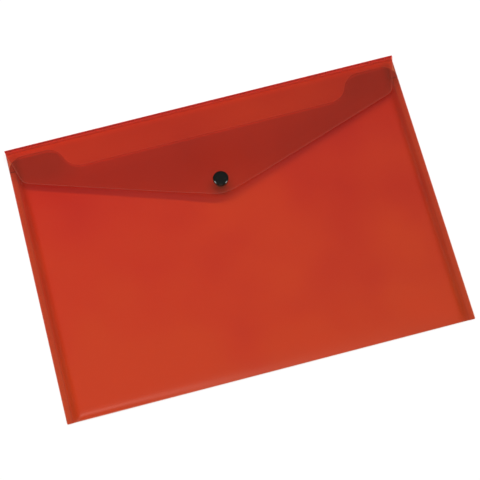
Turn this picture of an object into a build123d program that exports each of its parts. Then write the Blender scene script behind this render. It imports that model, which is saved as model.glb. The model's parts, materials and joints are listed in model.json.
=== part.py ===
from build123d import *
import math
import os

# Document wallet in polypropylene sheet: one blank, folded at the bottom, welded along both sides and
# creased at the top, where a V-shaped flap folds over the front and a press stud holds it down.
# Millimetres, +Z up. The wallet lies on its back, with its crease towards +Y. The origin is in the
# middle of its outline, on the surface that it lies on.

# Sheet and pocket
width = 335.0  # over the side edges
height = 238.0  # from the bottom fold to the crease, over both
gauge = 0.3  # thickness of the sheet
pocket_gap = 4.4  # free space between the back and the front
weld_width = 5.0  # flat fused strip along each side
weld_drop = 19.0  # from the crease edge to the top end of each weld
weld_corner_radius = 0.8  # bottom corners of the wallet
rise_width = 5.0  # band in which the front climbs from the weld to its full height

# Top edge of the front: an ear at each side, and the thumb cut-out between them
ear_drop = 8.0  # from the crease edge to the top of the ears
notch_drop = 28.2  # from the crease edge to the straight edge of the cut-out
shoulder_inset = 46.2  # from the side edge to the middle of each shoulder
shoulder_radius = 15.0  # both arcs of each shoulder

# Flap, with drops measured along the sheet from the crease edge
flap_corner_inset = 9.2  # side corner, measured in from the side edge
flap_corner_drop = 33.4
flap_corner_radius = 9.0
flap_point_drop = 86.9  # where the two V edges would meet
flap_point_radius = 30.0
flap_clearance = 0.2  # height of the flap above the front, at the crease

# Press stud
popper_drop = 72.4  # from the crease edge to the middle of the press stud, in plan
cap_diameter = 13.0
cap_height = 1.9
cap_edge = 0.6  # straight part of the cap's side
cap_shoulder = 2.0  # width of the rounded shoulder round the cap's flat top
post_diameter = 2.0
post_clearance = 0.05  # post to the holes that it fills, all round
rivet_head_diameter = 3.0  # spread end of each post
rivet_head_height = 0.3
socket_flange_diameter = 10.5
socket_flange = 0.7
socket_wall_diameter = 8.0
socket_height = 2.0
stud_flange_diameter = 10.5
stud_flange = 0.8
knob_height = 1.2
knob_diameter = 4.4
knob_neck_diameter = 3.8
knob_bevel = 0.35
snap_side_clearance = 0.35  # knob to the socket's bore, all round
snap_rest_clearance = 0.6  # socket's rim to the stud's flange, with the flap closed
rivet_diameter = 11.0
rivet_thickness = 0.8

# Levels and lines that follow from those sizes
half_width = width / 2
crease_edge = height / 2
front_top = 2 * gauge + pocket_gap
weld_line = half_width - weld_width
plateau_line = weld_line - rise_width
weld_top = crease_edge - weld_drop
ear_top = crease_edge - ear_drop
notch_edge = crease_edge - notch_drop
popper_y = crease_edge - popper_drop
fold_radius = front_top / 2
fold_line = fold_radius - height / 2
crease_inside = (gauge + pocket_gap + flap_clearance) / 2
crease_outside = crease_inside + gauge
hinge_y = crease_edge - crease_outside
hinge_z = crease_outside

# The press stud sets how high the flap stands there, and so how far it leans up from the crease
flap_level = front_top + stud_flange + snap_rest_clearance + socket_height
reach = hinge_y - popper_y
lift = flap_level - hinge_z
lean = math.acos(crease_inside / math.hypot(reach, lift)) - math.atan2(reach, lift)
lean_degrees = math.degrees(lean)
popper_along = (reach + crease_inside * math.sin(lean)) / math.cos(lean)

# Flap plane: its local Z is the flap's outward normal, and its local Y points back to the crease
flap_normal = Vector(0, math.sin(lean), math.cos(lean))
flap_plane = Plane(Vector(0, hinge_y, hinge_z) + flap_normal * crease_inside, (1, 0, 0), flap_normal)
flap_popper = flap_plane * Pos(0, -popper_along, 0)


def prism_along_y(points, start, end):
    """A straight prism from y = start to y = end, with its section given as (x, z) points."""
    section = Plane.XZ.offset(-end) * make_face(Polyline(*points, close=True))
    return extrude(section, amount=end - start)


def prism_along_x(section, half_length):
    """A prism centred on x = 0, with its section drawn in (y, z)."""
    return extrude(Plane.YZ * section, amount=half_length, both=True)


def mirrored_face(half):
    """The face between a half outline, drawn at x >= 0 from axis to axis, and its mirror image."""
    return make_face(half + mirror(half, about=Plane.YZ))


def turned(points):
    """A solid of revolution about Z, with its section given as (radius, z) points."""
    section = Plane.XZ * make_face(Polyline(*points, close=True))
    return revolve(section, axis=Axis.Z)


def pocket_section(outside):
    """Half of the pocket's section in (x, z), over the front sheet or under it, from weld to middle."""
    climb = math.atan2(front_top - 2 * gauge, rise_width)
    inset = 0 if outside else gauge * math.tan(climb / 2)
    drop = 0 if outside else gauge
    return [(weld_line - inset, 2 * gauge - drop), (plateau_line - inset, front_top - drop)]


def both_sides(points):
    """Points at +x, followed by their mirror images in reverse order."""
    return points + [(-x, z) for x, z in reversed(points)]


def make_back_panel():
    lower = Pos(0, (fold_line + weld_top) / 2) * Box(2 * weld_line, weld_top - fold_line, gauge)
    upper = Pos(0, (weld_top + hinge_y) / 2) * Box(width, hinge_y - weld_top, gauge)
    return Pos(0, 0, gauge / 2) * (lower + upper)


def front_outline():
    """Plan of the front sheet: straight sides, rounded ears, shoulders of two arcs and the cut-out."""
    ear_radius = weld_drop - ear_drop
    turn = math.acos(1 - (notch_drop - ear_drop) / (2 * shoulder_radius))
    shoulder_half = shoulder_radius * math.sin(turn)
    shoulder_middle = (half_width - shoulder_inset, (ear_top + notch_edge) / 2)
    shoulder_start = (half_width - shoulder_inset + shoulder_half, ear_top)
    shoulder_end = (half_width - shoulder_inset - shoulder_half, notch_edge)
    half = Polyline((0, fold_line), (weld_line, fold_line), (weld_line, weld_top), (half_width, weld_top))
    half += TangentArc((half_width, weld_top), (half_width - ear_radius, ear_top), tangent=(0, 1))
    half += Line((half_width - ear_radius, ear_top), shoulder_start)
    half += TangentArc(shoulder_start, shoulder_middle, tangent=(-1, 0))
    half += TangentArc(shoulder_end, shoulder_middle, tangent=(1, 0))
    half += Line(shoulder_end, (0, notch_edge))
    return mirrored_face(half)


def make_front_panel():
    brim = [(half_width, gauge), (half_width, 2 * gauge)]
    outer = prism_along_y(both_sides(brim + pocket_section(True)), fold_line, ear_top)
    inner = prism_along_y(both_sides(pocket_section(False)), fold_line, ear_top)
    plan = extrude(front_outline(), amount=front_top)
    post_hole = Pos(0, popper_y) * Cylinder(post_diameter / 2 + post_clearance, 2 * front_top)
    return ((outer - inner) & plan) - post_hole


def make_bottom_fold():
    def half_disc(radius):
        centre = (fold_line, fold_radius)
        bend = CenterArc(centre, radius, 90, 180)
        return make_face(bend + Line(bend @ 0, bend @ 1))

    foot = [(weld_line, 0)]
    outer = prism_along_y(both_sides(foot + pocket_section(True)), -height / 2, fold_line)
    inner = prism_along_y(both_sides(pocket_section(False)), -height / 2, fold_line)
    outer &= prism_along_x(half_disc(fold_radius), half_width)
    inner &= prism_along_x(half_disc(fold_radius - gauge), half_width)
    return outer - inner


def make_side_weld(side):
    length = weld_top + height / 2
    strip = Pos(side * (weld_line + weld_width / 2), weld_top - length / 2, gauge) * Box(
        weld_width, length, 2 * gauge
    )
    outer_edges = strip.edges().filter_by(Axis.Z).group_by(Axis.Y)[0]
    corner = outer_edges.sort_by(Axis.X)[-1 if side > 0 else 0]
    return fillet(corner, weld_corner_radius)


def make_flap_crease():
    centre = (hinge_y, hinge_z)
    outer = CenterArc(centre, crease_outside, -90, 180 - lean_degrees)
    inner = CenterArc(centre, crease_inside, -90, 180 - lean_degrees)
    section = make_face(outer + Line(outer @ 1, inner @ 1) + inner + Line(inner @ 0, outer @ 0))
    return prism_along_x(section, half_width)


def make_flap():
    corner = (half_width - flap_corner_inset, crease_outside - flap_corner_drop)
    point = (0, crease_outside - flap_point_drop)
    outline = make_face(
        Polyline((-half_width, 0), (-corner[0], corner[1]), point, corner, (half_width, 0), close=True)
    )
    levels = outline.vertices().group_by(Axis.Y)
    outline = fillet(levels[1], flap_corner_radius)
    outline = fillet(outline.vertices().group_by(Axis.Y)[0], flap_point_radius)
    post_hole = Pos(0, -popper_along) * Circle(post_diameter / 2 + post_clearance)
    return extrude(flap_plane * (outline - post_hole), amount=gauge)


def make_popper_cap():
    """Low button on the flap, with a post through the flap and the socket that is spread at its end."""
    radius = cap_diameter / 2
    top_radius = radius - cap_shoulder
    edge_level = gauge + cap_edge
    top_level = gauge + cap_height
    post_radius = post_diameter / 2
    head_radius = rivet_head_diameter / 2
    post_end = -socket_flange - rivet_head_height
    section = EllipticalCenterArc((top_radius, edge_level), cap_shoulder, cap_height - cap_edge, arc_size=90)
    section += Polyline((top_radius, top_level), (0, top_level), (0, post_end), (head_radius, post_end))
    section += Polyline(
        (head_radius, post_end),
        (head_radius, -socket_flange),
        (post_radius, -socket_flange),
        (post_radius, gauge),
        (radius, gauge),
        (radius, edge_level),
    )
    return flap_popper * revolve(Plane.XZ * make_face(section), axis=Axis.Z)


def make_popper_socket():
    """Flanged cup under the flap. Its bore takes the stud's knob."""
    hole_radius = post_diameter / 2 + post_clearance
    bore_radius = knob_diameter / 2 + snap_side_clearance
    flange_radius = socket_flange_diameter / 2
    wall_radius = socket_wall_diameter / 2
    return flap_popper * turned([
        (hole_radius, 0),
        (flange_radius, 0),
        (flange_radius, -socket_flange),
        (wall_radius, -socket_flange),
        (wall_radius, -socket_height),
        (bore_radius, -socket_height),
        (bore_radius, -socket_flange),
        (hole_radius, -socket_flange),
    ])


def make_popper_stud():
    """Flanged stud on the front sheet, with a necked knob that is hollow for the rivet's spread end."""
    hole_radius = post_diameter / 2 + post_clearance
    recess_radius = rivet_head_diameter / 2 + post_clearance
    flange_radius = stud_flange_diameter / 2
    neck_radius = knob_neck_diameter / 2
    knob_radius = knob_diameter / 2
    top = stud_flange + knob_height
    stud = turned([
        (hole_radius, 0),
        (flange_radius, 0),
        (flange_radius, stud_flange),
        (neck_radius, stud_flange),
        (knob_radius, stud_flange + knob_bevel),
        (knob_radius, top - knob_bevel),
        (knob_radius - knob_bevel, top),
        (recess_radius, top),
        (recess_radius, top - rivet_head_height),
        (hole_radius, top - rivet_head_height),
    ])
    return Pos(0, popper_y, front_top) * stud


def make_popper_rivet():
    """Disc inside the pocket, with a post through the front sheet and the stud that is spread at its end."""
    post_radius = post_diameter / 2
    head_radius = rivet_head_diameter / 2
    disc_radius = rivet_diameter / 2
    top = stud_flange + knob_height
    rivet = turned([
        (0, -gauge - rivet_thickness),
        (disc_radius, -gauge - rivet_thickness),
        (disc_radius, -gauge),
        (post_radius, -gauge),
        (post_radius, top - rivet_head_height),
        (head_radius, top - rivet_head_height),
        (head_radius, top),
        (0, top),
    ])
    return Pos(0, popper_y, front_top) * rivet


nodes = {
    "back_panel": make_back_panel(),
    "front_panel": make_front_panel(),
    "bottom_fold": make_bottom_fold(),
    "left_side_weld": make_side_weld(-1),
    "right_side_weld": make_side_weld(1),
    "flap_crease": make_flap_crease(),
    "flap": make_flap(),
    "popper_cap": make_popper_cap(),
    "popper_socket": make_popper_socket(),
    "popper_stud": make_popper_stud(),
    "popper_rivet": make_popper_rivet(),
}

os.makedirs("parts", exist_ok=True)
for node_name, shape in nodes.items():
    shape.label = node_name
    export_step(shape, f"parts/{node_name}.step")

print(f"hinge axis at y {hinge_y:.3f}, z {hinge_z:.3f}; flap leans {lean_degrees:.3f} degrees")
print(f"press stud at y {popper_y:.3f}, flap's inner face there at z {flap_level:.3f}")
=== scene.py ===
import json
import math

import bpy
import numpy as np
from mathutils import Matrix, Vector
from mathutils.geometry import delaunay_2d_cdt


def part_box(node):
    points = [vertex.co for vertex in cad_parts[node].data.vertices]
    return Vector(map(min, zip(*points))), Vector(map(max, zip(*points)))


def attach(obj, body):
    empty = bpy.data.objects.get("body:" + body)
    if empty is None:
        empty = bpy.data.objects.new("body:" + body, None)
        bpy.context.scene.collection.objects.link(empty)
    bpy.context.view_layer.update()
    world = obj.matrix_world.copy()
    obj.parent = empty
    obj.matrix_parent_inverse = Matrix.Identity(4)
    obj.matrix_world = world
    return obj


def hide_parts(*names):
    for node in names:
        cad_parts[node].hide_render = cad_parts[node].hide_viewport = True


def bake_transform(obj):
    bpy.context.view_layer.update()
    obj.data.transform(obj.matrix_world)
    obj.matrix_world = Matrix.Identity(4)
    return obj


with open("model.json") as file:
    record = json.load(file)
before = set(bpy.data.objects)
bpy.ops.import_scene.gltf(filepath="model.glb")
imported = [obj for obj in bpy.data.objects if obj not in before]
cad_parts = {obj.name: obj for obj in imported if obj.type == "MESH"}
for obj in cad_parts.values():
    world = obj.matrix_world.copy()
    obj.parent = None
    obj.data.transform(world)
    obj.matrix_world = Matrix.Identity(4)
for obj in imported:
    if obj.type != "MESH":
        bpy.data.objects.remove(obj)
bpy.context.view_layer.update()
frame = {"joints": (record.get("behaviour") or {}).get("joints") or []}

# Pocket: the lower part of the wallet's one die-cut blank of polypropylene sheet. It is folded in half at
# the bottom, so that the back, the rounded fold and the front with its thumb cut-out are one unbroken sheet.
mm = 0.001
back_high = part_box("back_panel")[1]
front_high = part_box("front_panel")[1]
fold_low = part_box("bottom_fold")[0]
weld_low, weld_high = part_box("right_side_weld")
crease_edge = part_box("flap_crease")[1].y
half_width = weld_high.x
weld_line = weld_low.x
weld_top = weld_high.y
gauge = back_high.z
hinge_y = back_high.y
front_top = front_high.z
ear_top = front_high.y
popper_y = (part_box("popper_stud")[0].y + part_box("popper_stud")[1].y) / 2

notch_edge = crease_edge - 28.2 * mm
shoulder_x = half_width - 46.2 * mm
shoulder_radius = 15 * mm
side_swell = 10 * mm  # how far in from a weld the front still climbs
fold_swell = 10 * mm, 22 * mm  # and how far up from the fold, at the wallet's left and right
fold_radius = 0.4 * mm
fold_y = fold_low.y + gauge / 2 + fold_radius
fold_run = math.pi * fold_radius
back_run = hinge_y - fold_y
front_start = back_run + fold_run
# the cut band is drawn milkier than the sheet, partly as a painted highlight
cut_band = 0.6 * mm  # width of the edge that the die has crushed
sheet_sharp = math.radians(40)  # a sheet's faces that meet at more than this keep a sharp edge
mouth_sag = 2.4 * mm  # how far the front sinks from the press stud up to its cut-out
sag_start = popper_y + 10 * mm


def linear(code):
    """An sRGB hex colour as linear red, green, blue and an alpha of 1."""
    parts = [int(code[i : i + 2], 16) / 255 for i in (0, 2, 4)]
    return [c / 12.92 if c <= 0.04045 else ((c + 0.055) / 1.055) ** 2.4 for c in parts] + [1]


def add(tree, kind, inputs=None, **settings):
    """Adds a node. Settings are its properties; an input is a value or the socket that feeds it."""
    made = tree.nodes.new(kind)
    for name, value in settings.items():
        setattr(made, name, value)
    for name, value in (inputs or {}).items():
        if isinstance(value, bpy.types.NodeSocket):
            tree.links.new(value, made.inputs[name])
        else:
            made.inputs[name].default_value = value
    return made


def sheet_plastic(name, thin, deep, body, body_share, slant=0.4, scatter=0.65):
    """Matt embossed polypropylene sheet, dyed through. The eye gets a clear red filter under a satin surface,
    cloudy where the sheet was drawn unevenly, and rosier towards the crease. Its tint also deepens steadily
    towards the right and the top, a painted light gradient that leaves the lower left lightest. A face
    filters light with the colour thin where it is looked through square on. It nears the colour deep by the
    share slant where it is looked through at a slant, by the share scatter for the lamps' light, and by
    painted shade where the mesh's attribute for it asks. Body is the sheet's own colour, which shows by the
    share body_share."""
    cloud_size = 70 * mm
    cloud_start = (1.12, 1.91, 0.46)  # the stretch of the clouds' pattern that falls on the wallet
    cloud_low, cloud_high = 0.3, 0.7
    cloud_depth = 0.03
    # painted light: the tint deepens towards the right and the top, so the lower left is lightest
    painted_light_drift_rate = (0.26, 0.28, 0)  # how much deeper the tint gets for each metre along x and y
    # how far painted shade deepens the tint
    painted_shade_depth = 0.13
    rosy = "FFF2FF"
    rosy_drift = 3.2  # how much rosier the tint gets for each metre towards the crease
    rosy_from, rosy_to = 0.2, 0.95
    grain_size = 0.9 * mm  # the real embossing is about 0.2 mm; drawn coarser so that it shows
    grain_height = 0.03 * mm
    grain_strength = 0.25
    satin_low, satin_high = 0.36, 0.44  # roughness of the embossed gloss
    body_roughness = 0.6
    square_mirror, grazing_mirror = 0.03, 0.15  # share of light that the surface mirrors
    grazing_power = 5.0
    material = bpy.data.materials.new(name)
    material.use_nodes = True
    tree = material.node_tree
    tree.nodes.clear()
    place = add(tree, "ShaderNodeTexCoord").outputs["Object"]
    drawn = add(tree, "ShaderNodeVectorMath", {0: place, 1: cloud_start}, operation="ADD")
    cloud = add(
        tree,
        "ShaderNodeTexNoise",
        {"Vector": drawn.outputs[0], "Scale": 1 / cloud_size, "Detail": 1.5},
    )
    grain = add(tree, "ShaderNodeTexNoise", {"Vector": place, "Scale": 1 / grain_size, "Detail": 2})
    bump = add(
        tree,
        "ShaderNodeBump",
        {"Height": grain.outputs["Fac"], "Strength": grain_strength, "Distance": grain_height},
    )
    facing = add(tree, "ShaderNodeLayerWeight", {"Blend": 0.5}).outputs["Facing"]
    # painted light, a steady gradient across the sheet
    painted_light_drift = add(tree, "ShaderNodeVectorMath", {0: place, 1: painted_light_drift_rate}, operation="DOT_PRODUCT")
    uneven = add(
        tree,
        "ShaderNodeMapRange",
        {
            "Value": cloud.outputs["Fac"],
            "From Min": cloud_low,
            "From Max": cloud_high,
            "To Min": -cloud_depth,
            "To Max": cloud_depth,
        },
    )
    painted_light_and_clouds = add(
        tree,
        "ShaderNodeMath",
        {0: painted_light_drift.outputs["Value"], 1: uneven.outputs["Result"]},
        operation="ADD",
    )
    # painted shade, given per point by the sheet's mesh
    painted_shade = add(tree, "ShaderNodeAttribute", attribute_name="painted_shade").outputs["Fac"]
    shaded_drift_and_clouds = add(
        tree,
        "ShaderNodeMath",
        {0: painted_shade, 1: painted_shade_depth, 2: painted_light_and_clouds.outputs[0]},
        operation="MULTIPLY_ADD",
    )
    slanted = add(
        tree,
        "ShaderNodeMath",
        {0: facing, 1: slant, 2: shaded_drift_and_clouds.outputs[0]},
        operation="MULTIPLY_ADD",
    )
    lamp_ray = add(tree, "ShaderNodeLightPath").outputs["Is Shadow Ray"]
    depth = add(
        tree,
        "ShaderNodeMath",
        {0: lamp_ray, 1: scatter, 2: slanted.outputs[0]},
        operation="MULTIPLY_ADD",
    )
    tint = add(
        tree,
        "ShaderNodeMix",
        {"Factor": depth.outputs[0], 6: linear(thin), 7: linear(deep)},
        data_type="RGBA",
    )
    height = add(tree, "ShaderNodeSeparateXYZ", {0: place}).outputs["Y"]
    batch = add(
        tree,
        "ShaderNodeMath",
        {0: height, 1: rosy_drift, 2: cloud.outputs["Fac"]},
        operation="MULTIPLY_ADD",
    )
    rose = add(
        tree,
        "ShaderNodeMapRange",
        {"Value": batch.outputs[0], "From Min": rosy_from, "From Max": rosy_to},
    )
    filter_colour = add(
        tree,
        "ShaderNodeMix",
        {"Factor": rose.outputs["Result"], 6: tint.outputs[2], 7: linear(rosy)},
        data_type="RGBA",
        blend_type="MULTIPLY",
    )
    clear = add(tree, "ShaderNodeBsdfTransparent", {"Color": filter_colour.outputs[2]})
    solid = add(
        tree,
        "ShaderNodeBsdfPrincipled",
        {
            "Base Color": linear(body),
            "Roughness": body_roughness,
            "Specular IOR Level": 0,
            "Normal": bump.outputs[0],
        },
    )
    filled = add(tree, "ShaderNodeMixShader", {0: body_share, 1: clear.outputs[0], 2: solid.outputs[0]})
    satin = add(
        tree,
        "ShaderNodeMapRange",
        {"Value": grain.outputs["Fac"], "To Min": satin_low, "To Max": satin_high},
    )
    gloss = add(
        tree,
        "ShaderNodeBsdfGlossy",
        {"Roughness": satin.outputs["Result"], "Normal": bump.outputs[0]},
    )
    grazing = add(tree, "ShaderNodeMath", {0: facing, 1: grazing_power}, operation="POWER")
    mirror = add(
        tree,
        "ShaderNodeMapRange",
        {"Value": grazing.outputs[0], "To Min": square_mirror, "To Max": grazing_mirror},
    )
    surface = add(
        tree,
        "ShaderNodeMixShader",
        {0: mirror.outputs["Result"], 1: filled.outputs[0], 2: gloss.outputs[0]},
    )
    add(tree, "ShaderNodeOutputMaterial", {"Surface": surface.outputs[0]})
    return material


def rounded(corners, step):
    """The closed outline through corners of (x, y, radius), with each round stretch as short chords."""
    least_chord = 0.01 * mm
    outline = []
    for i, (x, y, radius) in enumerate(corners):
        corner = Vector((x, y))
        before = (Vector(corners[i - 1][:2]) - corner).normalized()
        after = (Vector(corners[(i + 1) % len(corners)][:2]) - corner).normalized()
        if radius == 0:
            outline.append(corner)
            continue
        half = before.angle(after) / 2
        centre = corner + (before + after).normalized() * radius / math.sin(half)
        first = corner + before * radius / math.tan(half) - centre
        turn = math.copysign(math.pi - 2 * half, -before.cross(after))
        chords = max(2, math.ceil(abs(turn) * radius / step))
        outline += [centre + Matrix.Rotation(turn * k / chords, 2) @ first for k in range(chords + 1)]
    return [p for k, p in enumerate(outline) if (p - outline[k - 1]).length > least_chord]


def crossed(outline, columns, rows):
    """The outline with points added where its straight stretches cross the columns and rows of a grid."""
    least_run, least_chord = 2 * mm, 0.1 * mm
    points = []
    for a, b in zip(outline, outline[1:] + outline[:1]):
        shares = {0.0}
        for axis, lines in ((0, columns), (1, rows)):
            if abs(b[axis] - a[axis]) > least_run:
                shares |= {(line - a[axis]) / (b[axis] - a[axis]) for line in lines}
        points += [a.lerp(b, share) for share in sorted(shares) if 0 <= share < 1]
    return [p for k, p in enumerate(points) if (p - points[k - 1]).length > least_chord]


def spread(stops):
    """Rising positions along a line, from (start, end, spacing) stretches that follow each other."""
    places = []
    for start, end, spacing in stops:
        count = max(1, round((end - start) / spacing))
        places += [start + (end - start) * k / count for k in range(count)]
    return places + [stops[-1][1]]


def inside_by(points, outline):
    """How far each point lies inside a closed outline; outside, the number is negative."""
    start = np.array(outline)
    end = np.roll(start, -1, 0)
    nearest = np.full(len(points), np.inf)
    crossings = np.zeros(len(points), int)
    for a, b in zip(start, end):
        along = np.clip((points - a) @ (b - a) / ((b - a) @ (b - a)), 0, 1)
        nearest = np.minimum(nearest, np.linalg.norm(points - a - along[:, None] * (b - a), axis=1))
        if a[1] != b[1]:
            level = (a[1] > points[:, 1]) != (b[1] > points[:, 1])
            meeting = a[0] + (b[0] - a[0]) * (points[:, 1] - a[1]) / (b[1] - a[1])
            crossings += level & (points[:, 0] < meeting)
    return np.where(crossings % 2, nearest, -nearest)


def inset_corners(corners, inset):
    """The same rounded outline, drawn that far inside it."""
    moved = []
    for i, (x, y, radius) in enumerate(corners):
        corner = Vector((x, y))
        before = (corner - Vector(corners[i - 1][:2])).normalized()
        after = (Vector(corners[(i + 1) % len(corners)][:2]) - corner).normalized()
        bisector = (before.orthogonal() + after.orthogonal()).normalized()
        place = corner + bisector * inset / bisector.dot(before.orthogonal())
        hollow = before.cross(after) < 0
        moved.append((place.x, place.y, radius and radius + (inset if hollow else -inset)))
    return moved


def hill(distance, width):
    """A smooth hill of height 1, with its sides that far from its top."""
    return math.exp(-((distance / width) ** 2))


def cut_sheet(name, corners, columns, rows, formed, thickness, materials, finish, painted_shade_of=None, hole=None):
    """A closed sheet: a flat blank is cut to a rounded outline given anticlockwise, formed by a function from
    the blank's x and y to a place, and given its thickness. Finish gives the material of each spot of the
    blank from its x and y and from whether it is in the narrow band along the outline. The shade function
    gives from x and y how far painted shade darkens the sheet, and hole the middle and radius of a round
    hole."""
    chord = 1.2 * mm
    triangles_inside, tolerance = 1, 1e-7
    edge = crossed(rounded(corners, chord), columns, rows)
    band = crossed(rounded(inset_corners(corners, cut_band), chord), columns, rows)
    grid = np.array([(x, y) for x in columns for y in rows])
    grid = [Vector(p) for p in grid[inside_by(grid, band) > cut_band / 3]]
    loops = []
    for first, loop in ((0, edge), (len(edge), band)):
        loops += [(first + k, first + (k + 1) % len(loop)) for k in range(len(loop))]
    flat, _, faces, *_ = delaunay_2d_cdt(edge + band + grid, loops, [], triangles_inside, tolerance)
    flat = np.array(flat)
    middles = np.array([flat[list(f)].mean(0) for f in faces])
    kept = inside_by(middles, edge) > 0
    if hole:
        kept &= np.linalg.norm(middles - hole[0], axis=1) > hole[1]
    in_band = inside_by(middles, edge) < cut_band * 0.8
    finishes = [materials.index(finish(*m, near)) for m, near in zip(middles, in_band)]
    mesh = bpy.data.meshes.new(name)
    mesh.from_pydata([formed(x, y) for x, y in flat], [], [f for f, keep in zip(faces, kept) if keep])
    for material in materials:
        mesh.materials.append(material)
    mesh.polygons.foreach_set("material_index", np.array(finishes, np.int32)[kept])
    if painted_shade_of:
        painted_shade = mesh.attributes.new("painted_shade", "FLOAT", "POINT")
        painted_shade.data.foreach_set("value", [painted_shade_of(x, y) for x, y in flat])
    return thickened(name, mesh, thickness)


def thickened(name, mesh, thickness):
    """An object whose mesh is a middle surface grown to a closed wall of that thickness."""
    piece = bpy.data.objects.new(name, mesh)
    bpy.context.scene.collection.objects.link(piece)
    wall = piece.modifiers.new("wall", "SOLIDIFY")
    wall.thickness = thickness
    wall.offset = 0
    wall.use_quality_normals = True
    wall.use_even_offset = True
    plain = bpy.data.meshes.new_from_object(piece.evaluated_get(bpy.context.evaluated_depsgraph_get()))
    piece.modifiers.clear()
    piece.data = plain
    plain.name = name
    plain.shade_smooth()
    plain.set_sharp_from_angle(angle=sheet_sharp)
    return piece


def eased(share):
    """A smooth step from 0 to 1."""
    share = min(max(share, 0), 1)
    return share * share * (3 - 2 * share)


def swollen(share):
    """A swell from 0 to 1 that is steep at first and then levels out."""
    return 1 - (1 - min(max(share, 0), 1)) ** 3


def lifted(share):
    """A swell from 0 to 1 that leaves its start level and is steepest at a third of the way."""
    share = min(max(share, 0), 1)
    return 1 - (1 - share) ** 3 * (1 + 3 * share)


def bottom_swell(x):
    """How far up from the fold the front climbs; the fold is tightest at the left."""
    tight_until, change_width = -150 * mm, 170 * mm
    return fold_swell[0] + (fold_swell[1] - fold_swell[0]) * eased((x - tight_until) / change_width)


def front_ripple(x, y):
    """How far the front strays from flat: long shallow waves that die out at its edges and press stud. Each
    has its height, its radians for a metre along x and along y, and its start."""
    edge_calm, fold_calm, stud_calm = 40 * mm, 30 * mm, 45 * mm
    long_wave = 0.45 * mm * math.sin(21 * x + 34 * y + 0.7)
    cross_wave = 0.35 * mm * math.sin(-38 * x + 17 * y + 2.0)
    side = eased((weld_line - side_swell - abs(x)) / edge_calm)
    end = eased((y - fold_y - fold_swell[1]) / fold_calm) * eased((notch_edge - y) / edge_calm)
    stud = eased(math.hypot(x, y - popper_y) / stud_calm)
    return (long_wave + cross_wave) * side * end * stud


def front_sag(y):
    """How far the front has sunk towards the back, which it does above the press stud."""
    return mouth_sag * eased((y - sag_start) / (notch_edge - sag_start))


def pocket_place(x, run):
    """Where a point of the flat blank lies once folded; run is its distance from the crease line."""
    climb = lifted((weld_line - abs(x)) / side_swell)
    back_z = gauge / 2
    low_z = 1.5 * gauge + (2 * fold_radius - gauge) * climb
    if run <= back_run:
        return x, hinge_y - run, back_z
    if run < front_start:
        turn = math.pi * (run - back_run) / fold_run
        rise = (1 - math.cos(turn)) / 2
        return x, fold_y - fold_radius * math.sin(turn), back_z + (low_z - back_z) * rise
    y = fold_y + run - front_start
    high_z = front_top - gauge / 2 + front_ripple(x, y) - front_sag(y)
    return x, y, low_z + (high_z - low_z) * climb * swollen((y - fold_y) / bottom_swell(x))


def front_run(y):
    """Distance along the blank to a level of the front."""
    return front_start + y - fold_y


def pocket_finish(x, run, in_band):
    """Free edges of the pocket's blank show their cut as a milkier band, partly a painted highlight; a weld
    or the crease has none.
    """
    above_weld = run < hinge_y - weld_top or run > front_run(weld_top)
    free_edge = (above_weld and abs(x) > weld_line + cut_band) or run > front_run(notch_edge) - 2 * cut_band
    return cut_edge_highlight_red if in_band and free_edge else satin_red


def weld_side_shade(x):
    """Painted shade beside a weld, darkest just inside it."""
    shade_line, shade_width = 6.8 * mm, 3.6 * mm
    return hill(half_width - abs(x) - shade_line, shade_width)


def weld_end_shade(x, y):
    """Painted shade round a weld's upper end, stronger at the right."""
    end_reach = 9 * mm
    left_share, right_share = 0.4, 1
    return (right_share if x > 0 else left_share) * hill(y - weld_top, end_reach)


def ear_shade(x, above_notch):
    """Painted shade on the front's two ears; the left one is darker."""
    left_share, right_share = 2.1, 0.5
    inside_shoulder, shoulder_fade = 20 * mm, 30 * mm
    below_notch, notch_fade = 15 * mm, 20 * mm
    outward = eased((abs(x) - shoulder_x + inside_shoulder) / shoulder_fade)
    upward = eased((above_notch + below_notch) / notch_fade)
    return (right_share if x > 0 else left_share) * outward * upward


def pocket_shade(x, run):
    """Painted shade on the pocket's blank: beside the welds, on the ears, and most on the back's bare margins
    above the welds.
    """
    inside_weld, margin_fade, margin_share = 3 * mm, 4 * mm, 4
    above_weld = run < hinge_y - weld_top
    margin = eased((abs(x) - weld_line + inside_weld) / margin_fade) if above_weld else 0
    bare_margin = margin_share * margin * weld_end_shade(x, hinge_y - run)
    return weld_side_shade(x) + bare_margin + ear_shade(x, run - front_run(notch_edge))


slope = math.acos(1 - (ear_top - notch_edge) / (2 * shoulder_radius))
shoulder_reach = shoulder_radius * (math.sin(slope) - math.tan(slope / 2))
ear_radius = ear_top - weld_top - 0.01 * mm  # the outer corner is round all the way down to the weld
right_half = [
    (half_width, 0, 0),
    (half_width, hinge_y - weld_top, 0),
    (weld_line, hinge_y - weld_top, 0),
    (weld_line, front_run(weld_top), 0),
    (half_width, front_run(weld_top), 0),
    (half_width, front_run(ear_top), ear_radius),
    (shoulder_x + shoulder_reach, front_run(ear_top), shoulder_radius),
    (shoulder_x - shoulder_reach, front_run(notch_edge), shoulder_radius),
]
pocket_corners = right_half + [(-x, run, radius) for x, run, radius in reversed(right_half)]
swell_inner = weld_line - side_swell
pocket_columns = spread([
    (-half_width, -weld_line, 1.2 * mm),
    (-weld_line, -swell_inner, 0.6 * mm),
    (-swell_inner, swell_inner, 4 * mm),
    (swell_inner, weld_line, 0.6 * mm),
    (weld_line, half_width, 1.2 * mm),
])
before_fold = back_run - 2 * mm
after_fold = front_start + 4 * mm
swell_end = front_start + fold_swell[1]
pocket_rows = spread([
    (0, before_fold, 6 * mm),
    (before_fold, back_run, 0.5 * mm),
    (back_run, front_start, 0.12 * mm),
    (front_start, after_fold, 0.5 * mm),
    (after_fold, swell_end, 1.5 * mm),
    (swell_end, front_run(ear_top), 4 * mm),
])
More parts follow.
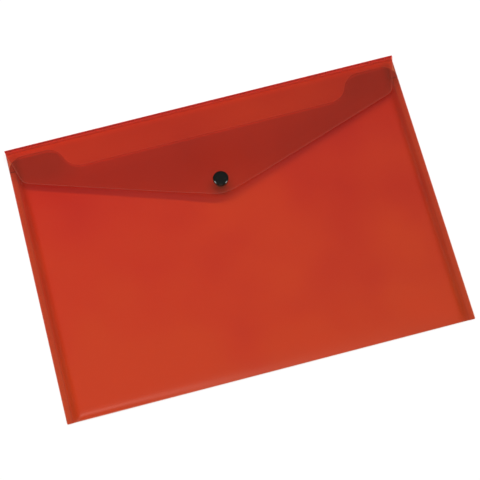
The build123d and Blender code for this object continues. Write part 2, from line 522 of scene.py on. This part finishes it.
post_hole_radius = 1.05 * mm
# Extruded and embossed polypropylene: a clear warm red with hardly any body, so that the table shows through.
satin_red = sheet_plastic("satin_red_polypropylene", "FFD8BE", "E1CCA8", "F090A8", 0.010)
# The same sheet where the die has cut it: the crushed edge shows as a thin, milkier line, partly a painted
# highlight along the cut.
cut_edge_highlight_red = sheet_plastic("die_cut_edge_painted_highlight_polypropylene", "FBCCBC", "D0B8A4", "F0906F", 0.09)
# The pocket's tint is darkened by painted shade beside the welds, on its ears and on the back's margins.
pocket_sheet = cut_sheet(
    "pocket_sheet",
    pocket_corners,
    pocket_columns,
    pocket_rows,
    pocket_place,
    gauge,
    [satin_red, cut_edge_highlight_red],
    pocket_finish,
    pocket_shade,
    (Vector((0, front_run(popper_y))), post_hole_radius),
)
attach(pocket_sheet, "pocket")
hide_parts("back_panel", "bottom_fold", "front_panel")

# Side welds: along each side the back and the front are fused into one flat strip, twice as thick as the
# sheet, by a heated bar. The bottom outer corner is barely rounded.
weld_corner_radius = 0.8 * mm
weld_gap = 0.02 * mm  # keeps the strip's inner face off the sheet's
weld_end_shade_share = 2.3  # how much of the painted shade round its upper end a strip shows
# Polypropylene that was melted and pressed: two layers of dye in one, so darker and browner than the sheet.
fused_red = sheet_plastic("fused_red_polypropylene", "F4BA95", "CD9058", "F0906F", 0.045)


def weld_place(x, y):
    """The strip lies flat on the table."""
    return x, y, gauge


for name, side in (("left_weld_strip", -1), ("right_weld_strip", 1)):
    inner, outer = side * (weld_line + weld_gap), side * half_width
    corners = [
        (inner, weld_top - weld_gap, 0),
        (inner, fold_low.y, 0),
        (outer, fold_low.y, weld_corner_radius),
        (outer, weld_top - weld_gap, 0),
    ]
    # The strips' tint is darkened by painted shade beside the welds and round their upper ends.
    weld_strip = cut_sheet(
        name,
        corners if side > 0 else corners[::-1],
        spread([(min(inner, outer), max(inner, outer), 0.8 * mm)]),
        spread([(fold_low.y, weld_top, 4 * mm)]),
        weld_place,
        2 * gauge,
        [fused_red, cut_edge_highlight_red],
        lambda x, y, in_band: cut_edge_highlight_red if in_band and abs(x) > half_width - cut_band else fused_red,
        lambda x, y: weld_side_shade(x) + weld_end_shade_share * weld_end_shade(x, y),
    )
    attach(weld_strip, "pocket")
    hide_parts("left_side_weld" if side < 0 else "right_side_weld")

# Flap crease: a living hinge, pressed across the blank with a bar, round which the sheet turns from the back
# into the flap. The real one bends as the flap swings; here it is drawn with the flap closed.
hinge = Vector(frame["joints"][0]["pos_m"])
flap_inside = hinge.z - gauge
lean = math.radians(2.628)  # the closed flap's tilt, up towards the press stud
bend_steps = 48
flat_below = 0.07 * hinge.z  # under this height the bend still has the back's plain finish
stretched_above = 1.55 * hinge.z
# Polypropylene squeezed by the creasing bar, seen along its bend: its deep red line is painted shade, while
# the lamps' light passes as through the plain sheet.
crease_shade_red = sheet_plastic(
    "crease_painted_shade_polypropylene", "E28D81", "F5D9BC", "F0906F", 0.03, slant=0, scatter=1
)
# The upper, outer part of the same bend, where the sheet is stretched: a brighter and purer red, though still
# darkened as painted shade.
stretched_crease_shade_red = sheet_plastic(
    "stretched_crease_painted_shade_polypropylene", "EA8881", "F5D9BC", "F0906F", 0.03, slant=0, scatter=1
)
crease = bpy.data.node_groups.new("bent_sheet", "GeometryNodeTree")
crease_sizes = {
    "Radius": flap_inside + gauge / 2,
    "Width": 2 * half_width,
    "Gauge": gauge,
    "Turn": math.pi - lean,
}
crease_sockets = {
    label: crease.interface.new_socket(label, in_out="INPUT", socket_type="NodeSocketFloat")
    for label in crease_sizes
}
crease.interface.new_socket("Geometry", in_out="OUTPUT", socket_type="NodeSocketGeometry")
given = add(crease, "NodeGroupInput").outputs
bend = add(
    crease,
    "GeometryNodeCurveArc",
    {
        "Resolution": bend_steps,
        "Radius": given["Radius"],
        "Start Angle": -math.pi / 2,
        "Sweep Angle": given["Turn"],
    },
)
section = add(
    crease,
    "GeometryNodeCurvePrimitiveQuadrilateral",
    {"Width": given["Gauge"], "Height": given["Width"]},
)
swept = add(
    crease,
    "GeometryNodeCurveToMesh",
    {"Curve": bend.outputs[0], "Profile Curve": section.outputs[0], "Fill Caps": True},
)
stood = add(
    crease,
    "GeometryNodeTransform",
    {
        "Geometry": swept.outputs[0],
        "Rotation": (math.pi / 2, 0, math.pi / 2),
        "Translation": (0, hinge.y, hinge.z),
    },
)
realized = add(crease, "GeometryNodeRealizeInstances", {0: stood.outputs[0]})
creased = add(crease, "GeometryNodeSetMaterial", {"Geometry": realized.outputs[0], "Material": crease_shade_red})
position = add(crease, "GeometryNodeInputPosition").outputs[0]
level = add(crease, "ShaderNodeSeparateXYZ", {0: position}).outputs["Z"]
upper = add(crease, "ShaderNodeMath", {0: level, 1: stretched_above}, operation="GREATER_THAN").outputs[0]
stretched = add(
    crease,
    "GeometryNodeSetMaterial",
    {"Geometry": creased.outputs[0], "Selection": upper, "Material": stretched_crease_shade_red},
)
lower = add(crease, "ShaderNodeMath", {0: level, 1: flat_below}, operation="LESS_THAN").outputs[0]
finished = add(
    crease,
    "GeometryNodeSetMaterial",
    {"Geometry": stretched.outputs[0], "Selection": lower, "Material": satin_red},
)
add(crease, "NodeGroupOutput", {"Geometry": finished.outputs[0]})
flap_crease = bpy.data.objects.new("flap_crease_bend", bpy.data.meshes.new("flap_crease_bend"))
bpy.context.scene.collection.objects.link(flap_crease)
bend_modifier = flap_crease.modifiers.new("bend", "NODES")
bend_modifier.node_group = crease
for label, size in crease_sizes.items():
    bend_modifier[crease_sockets[label].identifier] = size
plain = bpy.data.meshes.new_from_object(flap_crease.evaluated_get(bpy.context.evaluated_depsgraph_get()))
flap_crease.modifiers.clear()
flap_crease.data = plain
plain.shade_smooth()
plain.set_sharp_from_angle(angle=sheet_sharp)
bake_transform(flap_crease)
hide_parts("flap_crease")

# Flap: the top of the polypropylene blank, folded forward over the front and cut to a wide V with a rounded
# point. The press stud props it up in the middle, and beside the stud it droops a little towards the front.
flap_corner = (half_width - 9.2 * mm, hinge.z - 33.4 * mm)
flap_corner_radius = 9 * mm
flap_point = hinge.z - 86.9 * mm
flap_point_radius = 30 * mm
flap_droop = 1.4 * mm
held_radius = 8 * mm  # round the press stud, which holds the flap level
droop_fade = 30 * mm
crease_fade = 60 * mm
flap_normal = Vector((0, math.sin(lean), math.cos(lean)))
flap_down = Vector((0, -math.cos(lean), math.sin(lean)))
flap_root = hinge + flap_normal * flap_inside
popper_along = (hinge.y - popper_y + flap_inside * math.sin(lean)) / math.cos(lean)


def flap_place(x, y):
    """A point of the flap; y is 0 at the crease and falls along the sheet."""
    beside_stud = eased((math.hypot(x, y + popper_along) - held_radius) / droop_fade)
    droop = flap_droop * beside_stud * eased(-y / crease_fade)
    return flap_root + Vector((x, 0, 0)) - flap_down * y + flap_normal * (gauge / 2 - droop)


# The same embossed sheet in the flap: drawn a little deeper than the pocket's, which is painted shade, and
# warmer, with more of its own body showing.
flap_shade_red = sheet_plastic("satin_red_flap_painted_shade_polypropylene", "FFD1BE", "D1C0A6", "F07C18", 0.028)
flap_sheet = cut_sheet(
    "flap_sheet",
    [
        (half_width, 0, 0),
        (-half_width, 0, 0),
        (-flap_corner[0], flap_corner[1], flap_corner_radius),
        (0, flap_point, flap_point_radius),
        (flap_corner[0], flap_corner[1], flap_corner_radius),
    ],
    spread([(-half_width, half_width, 4 * mm)]),
    spread([(flap_point, 0, 3 * mm)]),
    flap_place,
    gauge,
    [flap_shade_red, cut_edge_highlight_red],
    # the flap's cut edge takes the milky band, partly a painted highlight
    lambda x, y, in_band: cut_edge_highlight_red if in_band and y < -cut_band else flap_shade_red,
    hole=(Vector((0, -popper_along)), post_hole_radius),
)
flap_sheet.visible_glossy = False  # the front's satin haze then runs on evenly up to the flap's edge
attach(flap_sheet, "flap")
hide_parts("flap")

# Press stud: four round mouldings in black acetal. The cap's post holds the socket under the flap, and the
# rivet's post holds the stud on the front; each post is spread at its end.
flow_size = 1.5 * mm
polish_low, polish_high = 0.08, 0.16
dimple_depth = 0.03 * mm
dimple_strength = 0.1
acetal_ior = 1.30  # under the usual 1.48, because the photographed cap mirrors little
# Injection-moulded acetal from a polished tool: near black, with small sharp glints that the flow of the melt
# makes a little uneven.
black = bpy.data.materials.new("glossy_black_acetal")
black.use_nodes = True
tree = black.node_tree
tree.nodes.clear()
place = add(tree, "ShaderNodeTexCoord").outputs["Object"]
flow = add(tree, "ShaderNodeTexNoise", {"Vector": place, "Scale": 1 / flow_size, "Detail": 3})
polish = add(
    tree,
    "ShaderNodeMapRange",
    {"Value": flow.outputs["Fac"], "To Min": polish_low, "To Max": polish_high},
)
dimple = add(
    tree,
    "ShaderNodeBump",
    {"Height": flow.outputs["Fac"], "Strength": dimple_strength, "Distance": dimple_depth},
)
shade = add(
    tree,
    "ShaderNodeMix",
    {"Factor": flow.outputs["Fac"], 6: linear("030403"), 7: linear("060807")},
    data_type="RGBA",
)
moulded = add(
    tree,
    "ShaderNodeBsdfPrincipled",
    {
        "Base Color": shade.outputs[2],
        "Roughness": polish.outputs["Result"],
        "IOR": acetal_ior,
        "Normal": dimple.outputs[0],
    },
)
add(tree, "ShaderNodeOutputMaterial", {"Surface": moulded.outputs[0]})
press_stud = bpy.data.collections.new("press_stud")  # what the two glint lamps light


def turned(name, profile, stand, body, node):
    """A closed round moulding: a profile of (radius, height), turned round the stand's Z."""
    sides = 96
    moulding_sharp = math.radians(35)
    points, rings = [], []
    for radius, height in profile:
        count = sides if radius > 0 else 1
        rings.append(range(len(points), len(points) + count))
        for k in range(count):
            angle = 2 * math.pi * k / sides
            points.append(stand @ Vector((radius * math.cos(angle), radius * math.sin(angle), height)))
    faces = []
    for low, high in zip(rings, rings[1:]):
        for k in range(sides):
            after = (k + 1) % sides
            below = [low[k % len(low)], low[after % len(low)]]
            above = [high[after % len(high)], high[k % len(high)]]
            faces.append(list(dict.fromkeys(below + above)))
    mesh = bpy.data.meshes.new(name)
    mesh.from_pydata(points, [], [f for f in faces if len(f) > 2])
    mesh.materials.append(black)
    mesh.shade_smooth()
    mesh.set_sharp_from_angle(angle=moulding_sharp)
    piece = bpy.data.objects.new(name, mesh)
    bpy.context.scene.collection.objects.link(piece)
    press_stud.objects.link(piece)
    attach(piece, body)
    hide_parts(node)


def arc(centre, wide, high, start, end, steps):
    """Points of an elliptic arc in a profile, with its angles in degrees from the outward direction."""
    angles = [math.radians(start + (end - start) * k / steps) for k in range(steps + 1)]
    return [(centre[0] + wide * math.cos(a), centre[1] + high * math.sin(a)) for a in angles]


flap_stand = Matrix.Translation(flap_root + flap_down * popper_along) @ Matrix.Rotation(-lean, 4, "X")
front_stand = Matrix.Translation((0, popper_y, front_top))
cap_radius = 6.5 * mm
cap_top = gauge + 1.9 * mm
cap_flat = 4.5 * mm
cap_edge = gauge + 0.6 * mm
cap_dish = 0.03 * mm  # the cap's top is very slightly hollow
dish_slope = 0.02 * mm
edge_round = 0.2 * mm
post_radius = 1 * mm
head_radius = 1.5 * mm
head_height = 0.3 * mm
socket_flange = 0.7 * mm
head_end = -socket_flange - head_height
turned(
    "press_stud_cap",
    [(0, head_end), (head_radius, head_end), (head_radius, -socket_flange)]
    + [(post_radius, -socket_flange), (post_radius, gauge), (cap_radius - edge_round, gauge)]
    + arc((cap_radius - edge_round, gauge + edge_round), edge_round, edge_round, -90, 0, 4)
    + arc((cap_flat, cap_edge), cap_radius - cap_flat, cap_top - cap_edge, 0, 90, 16)
    + [(cap_flat * 0.5, cap_top - dish_slope), (0, cap_top - cap_dish)],
    flap_stand,
    "flap",
    "popper_cap",
)
socket_radius = 5.25 * mm
socket_wall = 4 * mm
socket_bore = 2.55 * mm
socket_height = 2 * mm
turned(
    "press_stud_socket",
    [(post_hole_radius, -socket_flange), (socket_bore, -socket_flange), (socket_bore, -socket_height)]
    + [(socket_wall, -socket_height), (socket_wall, -socket_flange), (socket_radius, -socket_flange)]
    + [(socket_radius, 0), (post_hole_radius, 0), (post_hole_radius, -socket_flange)],
    flap_stand,
    "flap",
    "popper_socket",
)
stud_radius = 5.25 * mm
stud_flange = 0.8 * mm
stud_top = stud_flange + 1.2 * mm
knob_radius = 2.2 * mm
neck_radius = 1.9 * mm
knob_bevel = 0.35 * mm
recess_radius = head_radius + 0.05 * mm
recess_floor = stud_top - head_height
turned(
    "press_stud_stud",
    [(post_hole_radius, recess_floor), (post_hole_radius, 0), (stud_radius, 0), (stud_radius, stud_flange)]
    + [(neck_radius, stud_flange), (knob_radius, stud_flange + knob_bevel)]
    + [(knob_radius, stud_top - knob_bevel), (knob_radius - knob_bevel, stud_top)]
    + [(recess_radius, stud_top), (recess_radius, recess_floor), (post_hole_radius, recess_floor)],
    front_stand,
    "pocket",
    "popper_stud",
)
rivet_radius = 5.5 * mm
rivet_low = -gauge - 0.8 * mm
turned(
    "press_stud_rivet",
    [(0, rivet_low), (rivet_radius, rivet_low), (rivet_radius, -gauge), (post_radius, -gauge)]
    + [(post_radius, recess_floor), (head_radius, recess_floor), (head_radius, stud_top), (0, stud_top)],
    front_stand,
    "pocket",
    "popper_rivet",
)

# Table and light: a plain white table and soft studio lamps. The long lamp behind throws the flap's shadow
# forward on to the table, where it shows through the front.
floor_half = 30.0
floor_level = -0.2 * mm
white_share = 0.7  # how much of the table's look is plain white and not what the lamps light
floor_sides = ((-1, -1), (1, -1), (1, 1), (-1, 1))
floor_corners = [(x * floor_half, y * floor_half, floor_level) for x, y in floor_sides]
floor_mesh = bpy.data.meshes.new("table_top")
floor_mesh.from_pydata(floor_corners, [], [(0, 1, 2, 3)])
floor = bpy.data.objects.new("table_top", floor_mesh)
bpy.context.scene.collection.objects.link(floor)
# Matt white board: plain white where it is seen with nothing in front or in a gloss, with a trace of shadow.
# Through the sheet, it shows only what the lamps light, so the flap's shadow is whole there.
white = bpy.data.materials.new("matt_white_table")
white.use_nodes = True
tree = white.node_tree
tree.nodes.clear()
ray = add(tree, "ShaderNodeLightPath").outputs
open_view = add(tree, "ShaderNodeMath", {0: ray["Transparent Depth"], 1: 0.5}, operation="LESS_THAN")
seen = add(tree, "ShaderNodeMath", {0: ray["Is Camera Ray"], 1: open_view.outputs[0]}, operation="MULTIPLY")
mirrored = add(tree, "ShaderNodeMath", {0: seen.outputs[0], 1: ray["Is Glossy Ray"]}, operation="MAXIMUM")
shown = add(
    tree,
    "ShaderNodeMath",
    {0: mirrored.outputs[0], 1: ray["Is Transmission Ray"]},
    operation="MAXIMUM",
)
share = add(tree, "ShaderNodeMath", {0: shown.outputs[0], 1: white_share}, operation="MULTIPLY")
lit = add(tree, "ShaderNodeBsdfDiffuse", {"Color": linear("FFFFFF")})
plain_white = add(tree, "ShaderNodeEmission", {"Color": linear("FFFFFF"), "Strength": 1.0})
both = add(tree, "ShaderNodeMixShader", {0: share.outputs[0], 1: lit.outputs[0], 2: plain_white.outputs[0]})
add(tree, "ShaderNodeOutputMaterial", {"Surface": both.outputs[0]})
floor_mesh.materials.append(white)


def lamp(name, place, wide, deep, watts, long_axis):
    """A rectangular lamp that faces the wallet, with its longer side as near to long_axis as that allows."""
    data = bpy.data.lights.new(name, "AREA")
    data.shape = "RECTANGLE"
    data.size = wide
    data.size_y = deep
    data.energy = watts
    back = Vector(place).normalized()
    side = (Vector(long_axis) - back * back.dot(Vector(long_axis))).normalized()
    facing = Matrix((side, back.cross(side), back)).transposed().to_4x4()
    made = bpy.data.objects.new(name, data)
    made.matrix_world = Matrix.Translation(place) @ facing
    bpy.context.scene.collection.objects.link(made)
    return made


key = lamp(
    "strip_behind",
    place=(1.07, 3.07, 6.0),
    wide=8.7,
    deep=0.5,
    watts=540,
    long_axis=(0.951, -0.311, 0),
)
key.visible_glossy = False  # it lights the scene and shows in no gloss
sheen = lamp("sheen_front", place=(-0.45, -1.3, 1.3), wide=1.0, deep=0.6, watts=9.0, long_axis=(1, 0, 0))
sheen.visible_diffuse = False  # it shows in the gloss alone
for name, place, watts in (
    ("glint_left", (-1.15, 0.06, 0.96), 30),
    ("glint_right", (1.0, -0.57, 0.96), 40),
):
    glint = lamp(name, place, wide=0.5, deep=0.5, watts=watts, long_axis=(0, 1, 0))
    glint.light_linking.receiver_collection = press_stud

# The room is dim, with a brighter ceiling and a bright foot of its walls; the camera sees plain white.
room_glow, ceiling_glow, wall_glow = 0.08, 0.5, 0.92
ceiling_from, ceiling_to = 0.55, 0.95  # as the sine of the height above the horizon
wall_top, wall_foot = 0.1, 0.04
world = bpy.data.worlds.new("studio")
bpy.context.scene.world = world
world.use_nodes = True
tree = world.node_tree
tree.nodes.clear()
direction = add(tree, "ShaderNodeTexCoord").outputs["Generated"]
upward = add(tree, "ShaderNodeSeparateXYZ", {0: direction}).outputs["Z"]
ceiling = add(
    tree,
    "ShaderNodeMapRange",
    {
        "Value": upward,
        "From Min": ceiling_from,
        "From Max": ceiling_to,
        "To Min": room_glow,
        "To Max": ceiling_glow,
    },
)
wall = add(
    tree,
    "ShaderNodeMapRange",
    {"Value": upward, "From Min": wall_top, "From Max": wall_foot, "To Min": 0.0, "To Max": wall_glow},
)
room = add(tree, "ShaderNodeMath", {0: ceiling.outputs["Result"], 1: wall.outputs["Result"]}, operation="ADD")
in_view = add(tree, "ShaderNodeLightPath").outputs["Is Camera Ray"]
backdrop = add(tree, "ShaderNodeMath", {0: room.outputs[0], 1: in_view}, operation="MAXIMUM")
glow = add(tree, "ShaderNodeBackground", {"Color": linear("FFFFFF"), "Strength": backdrop.outputs[0]})
add(tree, "ShaderNodeOutputWorld", {"Surface": glow.outputs[0]})

# Camera: above the front edge and a little to its left, as the photograph was taken. Its place and focal
# length are those at which the wallet's outline meets the four photographed corners.
azimuth, elevation, roll = (math.radians(a) for a in (-11.568, 71.612, -3.263))
camera_distance = 1245.62 * mm
camera_target = Vector((2.39 * mm, -6.06 * mm, 0))
focal_pixels = 1526.4
frame_pixels = 480
level_eye = Vector((math.sin(azimuth), -math.cos(azimuth), 0))
eye = level_eye * math.cos(elevation) + Vector((0, 0, math.sin(elevation)))
level_right = Vector((0, 0, 1)).cross(eye).normalized()
right = Matrix.Rotation(roll, 3, eye) @ level_right
camera_data = bpy.data.cameras.new("camera")
camera_data.sensor_width = 36
camera_data.lens = focal_pixels * camera_data.sensor_width / frame_pixels
camera_data.clip_end = 100
camera = bpy.data.objects.new("camera", camera_data)
camera.matrix_world = (
    Matrix.Translation(camera_target + eye * camera_distance)
    @ Matrix((right, eye.cross(right), eye)).transposed().to_4x4()
)
bpy.context.scene.collection.objects.link(camera)
bpy.context.scene.camera = camera
bpy.context.scene.view_settings.view_transform = "Standard"
bpy.context.scene.cycles.transparent_max_bounces = 24
